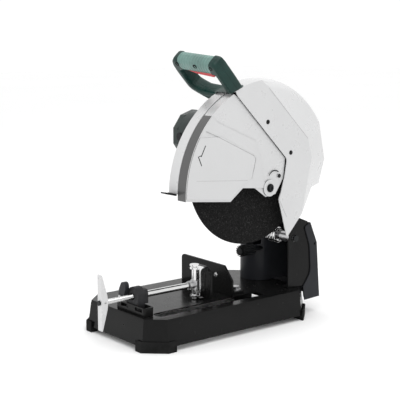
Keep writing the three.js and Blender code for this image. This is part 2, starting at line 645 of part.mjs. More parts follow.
function makeRearCover(parent) {
  const territory = prismX([[-9, 570], [3, 545, 4], [158.5, 391, 8], [152, 352, 6], [139.5, 311],
    [133, 297], [160, 205], [164, 205], [206, 250], [262, 312],
    [330, 312], [420, 420], [300, 633], [-39, 633]],
    HOOD.left - 1, 130);
  const shell = cut(rearVolume(0), rearVolume(REAR.sheet));
  const holes = join(barX(96, 481, 4, 100, 130, 16), barX(170, 405, 4, 100, 130, 16));
  place(parent, 'hood_rear_cover', cut(shell.intersect(territory), holes), SILVER_PAINT);
}

// The front half's upper panel, set back behind the lower guard.
function makeUpperCover(parent) {
  const rim = rimBand(GUARD.r - 2, GUARD.r - 3.5, 150, SEAM + 0.4, HOOD.split + GAP, 112, 8);
  const panel = prismX([...rimArc(GUARD.r - 2, 150, SEAM + 0.4, 8), [9, 541], [157, 393], [152, 346],
    [127, 310], [96, 306], [40, 345]], 110.5, 112);
  const post = barX(GUARD.y, GUARD.z, 12, 98, 111, 20);
  const shape = cut(join(rim, panel, post), barX(GUARD.y, GUARD.z, 4.3, 90, 120, 16));
  place(parent, 'hood_upper_cover', shape, SILVER_PAINT);
}

function makeGuard(parent) {
  const r = GUARD.r;
  const t = HOOD.sheet;
  const rim = rimBand(r, r - t, 181.7, GUARD_TOP, HOOD.split + 1.2, HOOD.right, 12);
  const inner = HOOD.right - t - 0.8;
  const boss = barX(GUARD.y, GUARD.z, 20, inner, HOOD.right, 28);
  const panel = prismX([...rimArc(r, 181.7, GUARD_TOP, 12), [-50, 487], [60, 440], [78, 400], [88, 345],
    [100, 330], [100, 318], [96, 327], [24, 334], [-13, 306], [-139, 319]], inner, HOOD.right - 1);
  const raised = prismX([...rimArc(r - 3, 180.5, 148, 8), [-40, 455], [62, 402], [50, 355], [20, 338],
    [-14, 311], [-134, 324]], inner, HOOD.right);
  const shape = cut(join(rim, panel, boss, raised), barX(GUARD.y, GUARD.z, 4.3, 90, 130, 16));
  place(parent, 'blade_guard', shape, SILVER_PAINT);
}

function makeGuardBolt(parent) {
  const { y, z } = GUARD;
  const boltParts = [barX(y, z, 4, 99, 118), barX(y, z, 10, 115.3, 117.2), barX(y, z, 7, 117, 120.5, 6)];
  place(parent, 'guard_pivot_bolt', join(...boltParts), DARK_SILVER);
}

// ---- spark flap --------------------------------------------------------------------------------
const FLAP = { y: -145, z: 331.5 };

function makeFlap(parent) {
  const sheet = prismX([[-145, 330], [-145, 333], [-165, 337], [-165, 334]], HOOD.left + 1, HOOD.split - 1);
  const hingeRoll = barX(FLAP.y, FLAP.z, 2.5, HOOD.left + 1, HOOD.split - 1, 12);
  place(parent, 'spark_flap', join(sheet, hingeRoll), RUBBER);
}

// ---- handle ------------------------------------------------------------------------------------
// The handle is a D in a plane that leans forward: U runs along X, W from the lower bar to the grip.
const HANDLE = { y: 3, z: 556, lean: 47.5 * Math.PI / 180, tilt: 6.2 * Math.PI / 180, half: 18 };
const BUTTON = { u: 96, w: 90 };
const IN_HANDLE = new THREE.Matrix4();
const U_AXIS = new THREE.Vector3(Math.cos(HANDLE.tilt),
  Math.sin(HANDLE.tilt) * Math.cos(HANDLE.lean), -Math.sin(HANDLE.tilt) * Math.sin(HANDLE.lean));
const N_AXIS = new THREE.Vector3(0, Math.sin(HANDLE.lean), Math.cos(HANDLE.lean));
const W_AXIS = U_AXIS.clone().cross(N_AXIS);
IN_HANDLE.makeBasis(U_AXIS, W_AXIS, N_AXIS.clone().negate());
IN_HANDLE.setPosition(0, HANDLE.y, HANDLE.z);

function handleSolid(geometry) {
  return solid(geometry.applyMatrix4(IN_HANDLE));
}

// A slab of the handle's plane: an outline in U and W, between two depths along N.
function handleSlab(points, n0, n1, curveSegments = 2) {
  const geometry = new THREE.ExtrudeGeometry(asShape(points),
    { depth: n1 - n0, bevelEnabled: false, curveSegments, steps: 1 });
  geometry.translate(0, 0, -n1);
  return handleSolid(geometry);
}

function handleBar(u, w, r, n0, n1, sides = 12) {
  const geometry = new THREE.CylinderGeometry(r, r, n1 - n0, sides);
  geometry.rotateX(Math.PI / 2);
  geometry.translate(u, w, -(n0 + n1) / 2);
  return handleSolid(geometry);
}

function handleRing(inset) {
  const outer = [[-35 + inset, 78, 6], [-33 + inset, 106 - inset, 12], [109 - inset, 106 - inset, 5],
    [113 - inset, 90, 3], [119 - inset, 24, 6], [119 - inset, -19 + inset, 3],
    [23 + inset / 3, -19 + inset, 4], [-26 + inset, 11 + inset / 2, 8]];
  const inner = [[-17 - inset / 2, 68 + inset, 5], [96 + inset, 68 + inset, 5], [98 + inset, 8 - inset, 6],
    [9, 6 - inset / 2, 6], [-13 - inset / 3, 21 - inset / 4, 4]];
  const shape = outline(outer);
  shape.holes.push(new THREE.Path(outline(inner).getPoints(2).reverse()));
  return shape;
}

function handleBody(n0, n1) {
  const core = handleSlab(handleRing(0), Math.max(n0, -10), Math.min(n1, 10));
  const skin = handleSlab(handleRing(3), Math.max(n0, -15), Math.min(n1, 15));
  const crown = handleSlab(handleRing(7), Math.max(n0, -HANDLE.half), Math.min(n1, HANDLE.half));
  return join(core, skin, crown);
}

function makeHandle(parent) {
  const clearOfHood = barX(GUARD.y, GUARD.z, REAR.rim + 0.8, HOOD.left - 0.4, 130, 72);
  const pocket = handleSlab([[-12, 64], [82, 64], [82, 98, 4], [-12, 98, 4]], -10, 10);
  const buttonHole = handleBar(BUTTON.u, BUTTON.w, 6.4, 2, 25);
  const bridgeRoom = prismX([[28, 476], [82, 476], [70, 500], [22.6, 538.6], [-0.6, 525]], 15.6, 46.4);
  const halves = [['handle_front_shell', -HANDLE.half, -0.15], ['handle_rear_shell', 0.15, HANDLE.half]];
  halves.forEach(([name, n0, n1]) => {
    const recesses = n0 < 0 ? [-13, 45, 96].map((u) => handleBar(u, 93, 4.5, -21, -12)) : [buttonHole];
    const lockRoom = handleBar(BUTTON.u, BUTTON.w, 8.4, 2, 14);
    const shape = cut(handleBody(n0, n1), clearOfHood, pocket, bridgeRoom, lockRoom, ...recesses);
    place(parent, name, shape, GREEN_PLASTIC);
  });
  place(parent, 'switch_body', handleSlab([[0, 84], [50, 84], [50, 97.5], [0, 97.5]], -9, 9), DARK_PLASTIC);
}

function makeTrigger(parent) {
  const bar = handleSlab([[-8, 67], [24, 58, 8], [78, 55, 3], [80, 60], [80, 74], [-8, 74]], -8, 8);
  const plunger = handleSlab([[20, 73], [30, 73], [30, 78.5], [20, 78.5]], -5, 5);
  place(parent, 'trigger', join(bar, plunger), RED_PLASTIC);
}

function makeLockButton(parent) {
  const buttonParts = [handleBar(BUTTON.u, BUTTON.w, 6, 5, 21), handleBar(BUTTON.u, BUTTON.w, 8, 5, 8)];
  place(parent, 'lock_off_button', join(...buttonParts), RED_PLASTIC);
}

function makeSpindleLock(parent) {
  const button = join(barY(32, DISC.z, 6, -2, 9.5, 16), barY(32, DISC.z, 9, -6, -1, 16));
  place(parent, 'spindle_lock_button', button, DARK_PLASTIC);
}

// ---- the saw put together ----------------------------------------------------------------------
makeBase();
[['foot_front_right', 1, -1], ['foot_front_left', -1, -1], ['foot_rear_right', 1, 1],
  ['foot_rear_left', -1, 1]].forEach(([name, sideX, sideY]) => makeFoot(name, sideX, sideY));
makeNose();
makeEar();
makeRearPlate();
makeShaft();
makeSpring();
makeViseBlock();
makeLockPin(group());
place(base, 'fence_pivot_bolt', deckBolt(FENCE.pivotX, FENCE.pivotY, DECK), STEEL);

const fenceGroup = group();
makeFence(fenceGroup);
place(fenceGroup, 'fence_clamp_bolt', deckBolt(FENCE.pivotX - FENCE_CLAMP_RADIUS, FENCE.pivotY, 62), STEEL);

makeLever(group());
const slide = group();
makeJawCarrier(slide);
makeScrew(group(slide));
makeJaw(group(slide));

const head = group();
makeArm(head);
makeGearHousing(head);
makeMotor(head, group(head));
makeSpindle(group(head));
makeLeftShell(head);
makeRearCover(head);
makeUpperCover(head);
makeGuardBolt(head);
makeGuard(group(head));
makeFlap(group(head));
makeHandle(head);
makeTrigger(group(head));
makeLockButton(group(head));
makeSpindleLock(group(head));

export default saw;
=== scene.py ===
# Visual model of an abrasive chop saw: materials, fine pieces, studio and camera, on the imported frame.
import json
import math
import bpy
import bmesh
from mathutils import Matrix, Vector


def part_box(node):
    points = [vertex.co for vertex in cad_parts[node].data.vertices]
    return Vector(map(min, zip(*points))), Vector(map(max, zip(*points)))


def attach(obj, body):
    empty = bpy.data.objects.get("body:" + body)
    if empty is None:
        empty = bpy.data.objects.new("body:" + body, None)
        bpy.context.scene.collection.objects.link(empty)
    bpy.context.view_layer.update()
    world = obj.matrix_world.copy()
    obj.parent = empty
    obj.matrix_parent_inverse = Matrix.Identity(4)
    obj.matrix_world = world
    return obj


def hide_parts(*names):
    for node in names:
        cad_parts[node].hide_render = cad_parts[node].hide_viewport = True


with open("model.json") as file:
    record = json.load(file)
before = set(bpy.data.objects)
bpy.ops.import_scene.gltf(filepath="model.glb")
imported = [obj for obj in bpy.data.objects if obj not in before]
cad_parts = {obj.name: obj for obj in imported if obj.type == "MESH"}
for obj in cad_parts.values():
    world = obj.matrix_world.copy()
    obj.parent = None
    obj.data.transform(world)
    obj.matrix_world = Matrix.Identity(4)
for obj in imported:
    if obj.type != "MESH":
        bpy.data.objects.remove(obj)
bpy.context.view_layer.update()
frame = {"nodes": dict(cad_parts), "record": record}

cad_box = {name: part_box(name) for name in frame["nodes"]}

# ---- places read from the frame, in metres -------------------------------------------------------
JOINTS = {row["name"]: row for row in frame["record"]["behaviour"]["joints"]}


def anchor(joint):
    """Where a joint's axis passes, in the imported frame."""
    return Vector(JOINTS[joint]["pos_m"])


MM = 0.001
RIGHT = Vector((1, 0, 0))
PIVOT = anchor("head_tilt")
GUARD = anchor("guard_swing")
SCREW = anchor("screw_turn")
GRIP_UP = Vector(JOINTS["trigger_pull"]["axis"])
GRIP_BACK = -Vector(JOINTS["lock_button_press"]["axis"])


# ---- materials -----------------------------------------------------------------------------------
class Look:
    """A node material with one Principled shader and helpers for procedural detail."""

    def __init__(self, name, color, roughness, metallic=0.0, coat=0.0, coat_roughness=0.1, specular=0.5):
        self.material = bpy.data.materials.new(name)
        self.material.use_nodes = True
        self.nodes = self.material.node_tree.nodes
        self.links = self.material.node_tree.links
        self.shader = self.nodes["Principled BSDF"]
        self.set("Base Color", (*color, 1.0))
        self.set("Roughness", roughness)
        self.set("Metallic", metallic)
        self.set("Coat Weight", coat)
        self.set("Coat Roughness", coat_roughness)
        self.set("Specular IOR Level", specular)
        self.place = self.nodes.new("ShaderNodeTexCoord").outputs["Object"]
        self.normal = None

    def set(self, socket, value):
        """Sets a constant on the shader's own socket."""
        self.shader.inputs[socket].default_value = value

    def noise(self, scale, detail=4.0, stretch=None):
        """Cloudy noise, stretched along an axis if asked."""
        node = self.nodes.new("ShaderNodeTexNoise")
        node.inputs["Scale"].default_value = scale
        node.inputs["Detail"].default_value = detail
        source = self.place
        if stretch:
            mapping = self.nodes.new("ShaderNodeMapping")
            mapping.inputs["Scale"].default_value = stretch
            self.links.new(source, mapping.inputs["Vector"])
            source = mapping.outputs["Vector"]
        self.links.new(source, node.inputs["Vector"])
        return node.outputs["Fac"]

    def cells(self, scale, output="Color"):
        """Cells, as a colour for each or as distances."""
        node = self.nodes.new("ShaderNodeTexVoronoi")
        node.inputs["Scale"].default_value = scale
        self.links.new(self.place, node.inputs["Vector"])
        return node.outputs[output]

    def ramp(self, source, stops):
        """Colours for the values of a texture."""
        node = self.nodes.new("ShaderNodeValToRGB")
        ramp = node.color_ramp
        while len(ramp.elements) < len(stops):
            ramp.elements.new(0.5)
        for element, (at, color) in zip(ramp.elements, stops):
            element.position = at
            element.color = (*color, 1.0)
        self.links.new(source, node.inputs["Fac"])
        return node.outputs["Color"]

    def spread(self, source, low, high, socket="Roughness"):
        """A socket that varies between two values with a texture."""
        node = self.nodes.new("ShaderNodeMapRange")
        node.inputs["To Min"].default_value = low
        node.inputs["To Max"].default_value = high
        node.inputs["From Min"].default_value = 0.3
        node.inputs["From Max"].default_value = 0.7
        self.links.new(source, node.inputs["Value"])
        self.links.new(node.outputs["Result"], self.shader.inputs[socket])

    def paint(self, source, stops):
        """A base colour that varies with a texture."""
        self.links.new(self.ramp(source, stops), self.shader.inputs["Base Color"])

    def bump(self, source, depth, strength=1.0):
        """Relief on top of any relief set before."""
        node = self.nodes.new("ShaderNodeBump")
        node.inputs["Distance"].default_value = depth
        node.inputs["Strength"].default_value = strength
        self.links.new(source, node.inputs["Height"])
        if self.normal:
            self.links.new(self.normal, node.inputs["Normal"])
        self.normal = node.outputs["Normal"]
        self.links.new(self.normal, self.shader.inputs["Normal"])


SILVER = (0.56, 0.562, 0.565)
SILVER_METALLIC = 0.15


def grey(value):
    """A neutral colour."""
    return (value, value, value)


def tint(color, factor):
    """A colour made lighter or darker."""
    return tuple(min(1.0, c * factor) for c in color)


def powder_coat(name, color, roughness, coat=0.08, specular=0.08):
    """Powder coat: slightly mottled, with a fine orange peel."""
    look = Look(name, color, roughness, coat=coat, coat_roughness=0.12, specular=specular)
    mottle = look.noise(9.0, 3.0)
    look.paint(mottle, [(0.35, tint(color, 0.8)), (0.65, tint(color, 1.25))])
    look.spread(look.noise(60.0), roughness * 0.8, roughness * 1.25)
    look.bump(look.noise(700.0, 2.0), 0.00006, 0.6)
    return look.material


def lacquer(name, color, roughness):
    """Pale metallic paint with faint clouds and a shallow wave."""
    look = Look(name, color, roughness, metallic=SILVER_METALLIC, coat=0.5, coat_roughness=0.18)
    cloud = look.noise(5.0, 2.0)
    look.paint(cloud, [(0.3, tint(color, 0.96)), (0.7, tint(color, 1.02))])
    look.spread(look.noise(35.0), roughness * 0.85, roughness * 1.15)
    look.bump(look.noise(500.0, 2.0), 0.00002, 0.12)
    look.bump(look.noise(14.0, 1.0), 0.00012, 0.25)
    return look.material


def moulded(name, color, roughness, grain=0.00008, specular=0.4):
    """Moulded plastic with a fine grain."""
    look = Look(name, color, roughness, specular=specular)
    look.paint(look.noise(22.0), [(0.35, tint(color, 0.85)), (0.65, tint(color, 1.2))])
    look.spread(look.noise(120.0), roughness * 0.85, roughness * 1.15)
    look.bump(look.cells(900.0, "Distance"), grain, 0.6)
    return look.material


def rubbery(name, color):
    """Dull rubber."""
    look = Look(name, color, 0.75, specular=0.1)
    look.paint(look.noise(40.0), [(0.35, tint(color, 0.7)), (0.65, tint(color, 1.5))])
    look.spread(look.noise(200.0), 0.62, 0.88)
    look.bump(look.noise(600.0, 3.0), 0.00015, 0.6)
    return look.material


def plated(name, color, roughness):
    """Bright plating with small changes in gloss."""
    look = Look(name, color, roughness, metallic=1.0)
    look.paint(look.noise(30.0), [(0.3, tint(color, 0.9)), (0.7, tint(color, 1.05))])
    look.spread(look.noise(80.0, 5.0), roughness * 0.6, roughness * 1.6)
    look.bump(look.noise(400.0, 2.0), 0.00002, 0.5)
    return look.material


def machined(name, color, roughness):
    """Turned or ground steel, brushed along X."""
    look = Look(name, color, roughness, metallic=1.0)
    look.paint(look.noise(50.0), [(0.3, tint(color, 0.75)), (0.7, tint(color, 1.1))])
    look.spread(look.noise(150.0, 5.0, (1.0, 12.0, 12.0)), roughness * 0.7, roughness * 1.4)
    look.bump(look.noise(500.0, 3.0, (1.0, 8.0, 8.0)), 0.00004, 0.5)
    return look.material


def casting(name, color):
    """Rough sand casting."""
    look = Look(name, color, 0.6, metallic=0.3)
    look.paint(look.noise(18.0), [(0.3, tint(color, 0.7)), (0.7, tint(color, 1.3))])
    look.spread(look.noise(90.0), 0.5, 0.75)
    look.bump(look.noise(260.0, 5.0), 0.0003, 0.7)
    return look.material


def abrasive(name):
    """The disc's bonded grit, dark with a few bright grains."""
    look = Look(name, grey(0.03), 0.9, specular=0.15)
    grit = look.cells(650.0)
    look.paint(grit, [(0.05, grey(0.002)), (0.5, grey(0.005)), (0.8, grey(0.013)), (0.97, grey(0.06))])
    look.spread(look.noise(300.0), 0.75, 0.98)
    look.bump(look.cells(520.0, "Distance"), 0.0006, 0.9)
    look.bump(look.noise(120.0, 6.0), 0.0005, 0.6)
    return look.material


def wound(name):
    """Windings of lacquered copper wire."""
    look = Look(name, (0.45, 0.2, 0.1), 0.45, metallic=0.8)
    look.paint(look.noise(200.0, 2.0, (6.0, 1.0, 1.0)), [(0.35, (0.25, 0.1, 0.05)), (0.65, (0.6, 0.3, 0.16))])
    look.bump(look.noise(300.0, 2.0, (8.0, 1.0, 1.0)), 0.0003, 0.8)
    return look.material


LOOKS = {
    "black_paint": powder_coat("black_powder_coat", grey(0.006), 0.22),
    "grey_paint": powder_coat("grey_powder_coat", (0.018, 0.019, 0.022), 0.38, 0.1),
    "rubber": rubbery("black_rubber", grey(0.009)),
    "chrome": plated("bright_plating", grey(0.72), 0.1),
    "steel": machined("machined_steel", (0.5, 0.5, 0.51), 0.32),
    "silver_paint": lacquer("pale_lacquer", SILVER, 0.3),
    "dark_silver": machined("dull_steel", (0.22, 0.22, 0.23), 0.4),
    "green_plastic": moulded("green_plastic", (0.003, 0.026, 0.021), 0.36, specular=0.3),
    "dark_plastic": moulded("dark_plastic", (0.005, 0.006, 0.007), 0.42, specular=0.22),
    "red_plastic": moulded("red_plastic", (0.5, 0.018, 0.025), 0.35),
    "abrasive": abrasive("bonded_grit"),
    "cast": casting("dark_casting", (0.014, 0.014, 0.016)),
    "copper": wound("copper_winding"),
}

# Painted highlight: a much lighter green for the grip than for the arms, standing in for the light falling on
# the grip's top.
PAINTED_LIT_GRIP = moulded("painted_lit_green_grip", (0.10, 0.20, 0.175), 0.35, 0.0002, 0.7)

MOTOR = moulded("motor_plastic", (0.008, 0.017, 0.015), 0.38)
OWN_LOOKS = {"motor_housing": MOTOR, "motor_end_cap": MOTOR, "pivot_bolt": LOOKS["dark_plastic"]}


def paint_frame():
    """Gives each CAD node the finish of its slot, or its own."""
    slots = {row["node"]: row["material_slot"] for row in frame["record"]["subparts"]}
    for name, obj in frame["nodes"].items():
        obj.data.materials.clear()
        obj.data.materials.append(OWN_LOOKS.get(name, LOOKS[slots[name]]))


SHARP = math.radians(28)


def smoothing_group():
    """A node group that shades smoothly across shallow edges and keeps the others sharp."""
    tree = bpy.data.node_groups.new("shade_smooth", "GeometryNodeTree")
    tree.interface.new_socket("Geometry", in_out="INPUT", socket_type="NodeSocketGeometry")
    tree.interface.new_socket("Geometry", in_out="OUTPUT", socket_type="NodeSocketGeometry")
    source = tree.nodes.new("NodeGroupInput")
    faces = tree.nodes.new("GeometryNodeSetShadeSmooth")
    angle = tree.nodes.new("GeometryNodeInputMeshEdgeAngle")
    steep = tree.nodes.new("FunctionNodeCompare")
    steep.inputs["B"].default_value = SHARP
    edges = tree.nodes.new("GeometryNodeSetShadeSmooth")
    edges.domain = "EDGE"
    edges.inputs["Shade Smooth"].default_value = False
    result = tree.nodes.new("NodeGroupOutput")
    tree.links.new(source.outputs[0], faces.inputs["Geometry"])
    tree.links.new(faces.outputs["Geometry"], edges.inputs["Geometry"])
    tree.links.new(angle.outputs["Unsigned Angle"], steep.inputs["A"])
    tree.links.new(steep.outputs["Result"], edges.inputs["Selection"])
    tree.links.new(edges.outputs["Geometry"], result.inputs[0])
    return tree


SMOOTHING = smoothing_group()


def shade(obj):
    """Shades a piece smoothly and keeps its sharp edges sharp."""
    smooth = obj.modifiers.new("smooth", "NODES")
    smooth.node_group = SMOOTHING
    weighted = obj.modifiers.new("normals", "WEIGHTED_NORMAL")
    weighted.keep_sharp = True


def soften(obj, width):
    """Rounds the edges of a piece a little and shades its facets smoothly, without touching its mesh."""
    weld = obj.modifiers.new("weld", "WELD")
    weld.merge_threshold = 0.00001
    flat = obj.modifiers.new("flat", "DECIMATE")
    flat.decimate_type = "DISSOLVE"
    flat.angle_limit = math.radians(0.6)
    bevel = obj.modifiers.new("edge", "BEVEL")
    bevel.width = width
    bevel.segments = 2
    bevel.limit_method = "ANGLE"
    bevel.angle_limit = SHARP
    shade(obj)


FINE_EDGES = {
    "base_tray": 0.0016, "hood_left_shell": 0.0005, "hood_rear_cover": 0.0009, "hood_upper_cover": 0.0006,
    "blade_guard": 0.0007, "motor_end_cap": 0.0012, "motor_housing": 0.001, "ear_plate": 0.0007,
    "rear_cover_plate": 0.0006, "fence": 0.0009, "pedestal_nose": 0.0006, "jaw_plate": 0.0006,
}
USUAL_EDGE = 0.0004
UNROUNDED = ("cutting_disc", "drive_gear", "armature", "return_spring")


def soften_frame():
    """Rounds the edges of the CAD nodes, apart from those with fine teeth, grit or coils."""
    for name, obj in frame["nodes"].items():
        if name not in UNROUNDED:
            soften(obj, FINE_EDGES.get(name, USUAL_EDGE))


# ---- studio --------------------------------------------------------------------------------------
CAMERA_AT = Vector((1.8059, -1.46955, 0.6835))
CAMERA_AZIMUTH = math.radians(51.20)
CAMERA_ELEVATION = math.radians(9.51)
LIT_POINT = Vector((0, 0, 0.3))


def make_camera():
    """The camera of the photograph's view."""
    data = bpy.data.cameras.new("camera")
    data.lens = 90
    data.sensor_width = 36
    camera = bpy.data.objects.new("camera", data)
    bpy.context.scene.collection.objects.link(camera)
    a = CAMERA_AZIMUTH
    e = CAMERA_ELEVATION
    back = Vector((math.sin(a) * math.cos(e), -math.cos(a) * math.cos(e), math.sin(e)))
    camera.location = CAMERA_AT
    camera.rotation_euler = (-back).to_track_quat("-Z", "Y").to_euler()
    bpy.context.scene.camera = camera


def add_light(name, at, size, power):
    """A soft rectangular lamp that faces the middle of the saw."""
    data = bpy.data.lights.new(name, "AREA")
    data.shape = "RECTANGLE"
    data.size, data.size_y = size
    data.energy = power
    light = bpy.data.objects.new(name, data)
    bpy.context.scene.collection.objects.link(light)
    light.location = at
    light.rotation_euler = (LIT_POINT - Vector(at)).to_track_quat("-Z", "Y").to_euler()


def make_studio():
    """A pale floor, an even white surround and three soft lamps."""
    world = bpy.data.worlds.new("studio")
    world.use_nodes = True
    background = world.node_tree.nodes["Background"]
    background.inputs["Color"].default_value = (1.0, 1.0, 1.0, 1.0)
    background.inputs["Strength"].default_value = 1.05
    bpy.context.scene.world = world
    bpy.context.scene.view_settings.view_transform = "Standard"
    mesh = bpy.data.meshes.new("floor")
    reach = 14.0
    mesh.from_pydata([(-reach, -reach, 0), (reach, -reach, 0), (reach, reach, 0), (-reach, reach, 0)], [],
                     [(0, 1, 2, 3)])
    floor = bpy.data.objects.new("floor", mesh)
    bpy.context.scene.collection.objects.link(floor)
    look = Look("pale_floor", grey(0.95), 0.7, specular=0.1)
    look.paint(look.noise(0.8, 2.0), [(0.3, grey(0.945)), (0.7, grey(0.96))])
    mesh.materials.append(look.material)
    add_light("key", (1.6, -0.6, 2.4), (1.6, 1.6), 14)
    add_light("front", (-0.9, -2.4, 1.2), (1.2, 1.6), 5)
    add_light("top", (0.0, 0.4, 2.6), (1.5, 1.5), 12)


# ---- building pieces -----------------------------------------------------------------------------
def add_piece(name, bm, slot, body, replaces=(), look=None):
    """A mesh piece with the finish of a slot, riding a CAD body, in place of CAD nodes if any are named."""
    mesh = bpy.data.meshes.new(name)
    bmesh.ops.recalc_face_normals(bm, faces=bm.faces)
    bm.to_mesh(mesh)
    bm.free()
    obj = bpy.data.objects.new(name, mesh)
    bpy.context.scene.collection.objects.link(obj)
    mesh.materials.append(look or LOOKS[slot])
    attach(obj, body)
    if replaces:
        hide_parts(*replaces)
    return obj


def skin_rings(bm, rings, closed=False):
    """Joins rings of points, all of one length, with quads, and caps the ends of an open run."""
    loops = [[bm.verts.new(p) for p in ring] for ring in rings]
    pairs = list(zip(loops, loops[1:]))
    if closed:
        pairs.append((loops[-1], loops[0]))
    for a, b in pairs:
        for i in range(len(a)):
            j = (i + 1) % len(a)
            bm.faces.new((a[i], a[j], b[j], b[i]))
    if not closed:
        bm.faces.new(loops[0])
        bm.faces.new(loops[-1])


def frame_of(axis):
    """Two directions square to an axis."""
    axis = Vector(axis).normalized()
    side = axis.orthogonal().normalized()
    return axis, side, axis.cross(side)


def turned(bm, at, axis, profile, sides):
    """A body of revolution: the profile lists (distance along the axis, radius)."""
    axis, side, other = frame_of(axis)
    rings = []
    for along, radius in profile:
        ring = []
        for i in range(sides):
            angle = 2 * math.pi * i / sides
            spoke = side * math.cos(angle) + other * math.sin(angle)
            ring.append(Vector(at) + axis * along + spoke * radius)
        rings.append(ring)
    skin_rings(bm, rings)


def hex_bolt(bm, at, axis, across, height, washer):
    """A hexagon head with a rounded-off top on a round washer."""
    r = across / math.sqrt(3)
    rim = [(0, washer * 0.97), (0.0002, washer), (0.0011, washer), (0.0014, washer * 0.96)]
    turned(bm, at, axis, rim, 40)
    base = Vector(at) + Vector(axis) * 0.0012
    turned(bm, base, axis, [(0, r * 0.98), (0.0003, r), (height * 0.82, r), (height, r * 0.86)], 6)
    crown = [(height * 0.9, r * 0.80), (height * 1.02, r * 0.78), (height * 1.02, r * 0.6)]
    turned(bm, base, axis, crown, 32)


WIRE_SIDES = 12


def tube(bm, points, radius):
    """A round wire along a line of points."""
    rings = []
    for i, p in enumerate(points):
        along = (points[min(i + 1, len(points) - 1)] - points[max(i - 1, 0)]).normalized()
        if i == 0:
            side = along.orthogonal().normalized()
        side = (side - along * side.dot(along)).normalized()
        other = along.cross(side)
        rings.append([p + (side * math.cos(t) + other * math.sin(t)) * radius
                      for t in (2 * math.pi * k / WIRE_SIDES for k in range(WIRE_SIDES))])
    skin_rings(bm, rings)


# ---- handle --------------------------------------------------------------------------------------
# U runs along the grip, W from the lower bar to the grip, N from the front shell to the rear one.
HANDLE_AT = Vector((0.0, PIVOT.y - 0.194, 0.556))
GRIP_ALONG = GRIP_BACK.cross(GRIP_UP)
# Each row pairs a point of the outer edge with one of the finger gap's edge, as (U, W) in millimetres.
HANDLE_RING = [
    ((-34, 60), (-16, 56)), ((-35, 76), (-17, 64)), ((-34.5, 90), (-16, 67)), ((-31, 99), (-14, 68)),
    ((-24, 105), (-11, 68)), ((-12, 106), (-5, 68)), ((94, 106), (86, 68)), ((104, 105), (92, 67.6)),
    ((110, 101), (95.5, 65)), ((113, 91), (96.5, 59)), ((115, 70), (97, 48)), ((117.5, 45), (97.5, 34)),
    ((119, 20), (98, 17)), ((119, -4), (96, 9)), ((116, -17), (90, 6)), ((100, -19), (78, 6)),
    ((60, -19), (50, 6)), ((34, -19), (22, 6)), ((20, -17), (9, 7)), ((-3, -4), (-2, 13)),
    ((-22, 8), (-12, 20)), ((-28, 17), (-14.5, 27)), ((-31.5, 38), (-15.5, 42)),
]
GRIP_STRETCH = 5
GRIP_STEPS = 60
PLAIN_STEPS = 3
GRIP_RIB = 9.0
GROOVE_DEPTH = 0.9
GRIP_HALF_HEIGHT = 19.0
SHELL_GAP = 0.15
SHELL_DEPTH = 17.7
SHELL_STEPS = 14
ROUND_POWER = 0.78
BOXY_POWER = 0.5
HOOD_RIM = 0.2542


def in_handle(u, w, n):
    """A point of the handle from its U, W and N in millimetres."""
    return HANDLE_AT + GRIP_ALONG * (u * MM) + GRIP_UP * (w * MM) + GRIP_BACK * (n * MM)


def clear_of_hood(p):
    """Moves a point that lies inside the hood's rim out onto it."""
    if p.x < cad_box["hood_left_shell"][0].x - 0.0005:
        return p
    out = Vector((0, p.y - GUARD.y, p.z - GUARD.z))
    if out.length >= HOOD_RIM:
        return p
    return Vector((p.x, GUARD.y, GUARD.z)) + out.normalized() * HOOD_RIM


def handle_stations():
    """Outer point, inner point and whether it is on the grip, in steps round the handle."""
    stations = []
    for i, (outer, inner) in enumerate(HANDLE_RING):
        after_outer, after_inner = HANDLE_RING[(i + 1) % len(HANDLE_RING)]
        gripped = i == GRIP_STRETCH
        steps = GRIP_STEPS if gripped else PLAIN_STEPS
        for k in range(steps):
            t = k / steps
            o = [a + (b - a) * t for a, b in zip(outer, after_outer)]
            n = [a + (b - a) * t for a, b in zip(inner, after_inner)]
            stations.append((o, n, gripped))
    return stations


def grip_rib(u):
    """How far the skin sinks at a place along the grip: shallow grooves with rounded ribs between them."""
    phase = (u / GRIP_RIB) % 1.0
    return GROOVE_DEPTH * math.exp(-((phase - 0.5) / 0.13) ** 2)


def handle_shell(name, node, side):
    """One half of the handle, with its grip painted a lighter green that stands in for the light falling on
    its top.
    """
    bm = bmesh.new()
    stations = handle_stations()
    rings = []
    for (ou, ow), (iu, iw), gripped in stations:
        power = ROUND_POWER if gripped else BOXY_POWER
        sink = grip_rib(ou) if gripped else 0.0
        ring = []
        for j in range(SHELL_STEPS + 1):
            angle = math.pi * j / SHELL_STEPS
            across = math.copysign(abs(math.cos(angle)) ** power, math.cos(angle))
            depth = SHELL_GAP + (SHELL_DEPTH - sink) * abs(math.sin(angle)) ** power
            shrink = 1.0 - sink / GRIP_HALF_HEIGHT
            u = (ou + iu) / 2 + (ou - iu) / 2 * across * shrink
            w = (ow + iw) / 2 + (ow - iw) / 2 * across * shrink
            ring.append(clear_of_hood(in_handle(u, w, side * depth)))
        rings.append(ring)
    skin_rings(bm, rings, closed=True)
    obj = add_piece(name, bm, "green_plastic", "head", (node,))
    # the grip's faces get the lighter green of the painted highlight
    obj.data.materials.append(PAINTED_LIT_GRIP)
    for face in obj.data.polygons:
        gripped = stations[face.index // (SHELL_STEPS + 1)][2]
        if gripped:
            face.material_index = 1
    shade(obj)


SCREW_SPOTS = (-13, 45, 96)
SUNK_SCREW = [(0, 0.0050), (0.0014, 0.0050), (0.0017, 0.0046), (0.0016, 0.0040), (0.0006, 0.0034),
              (0.0004, 0.0012)]


def grip_screws():
    """Black screws sunk in the front of the grip."""
    bm = bmesh.new()
    for u in SCREW_SPOTS:
        turned(bm, in_handle(u, 93, -16.9), -GRIP_BACK, SUNK_SCREW, 24)
    shade(add_piece("grip_screws", bm, "rubber", "head"))


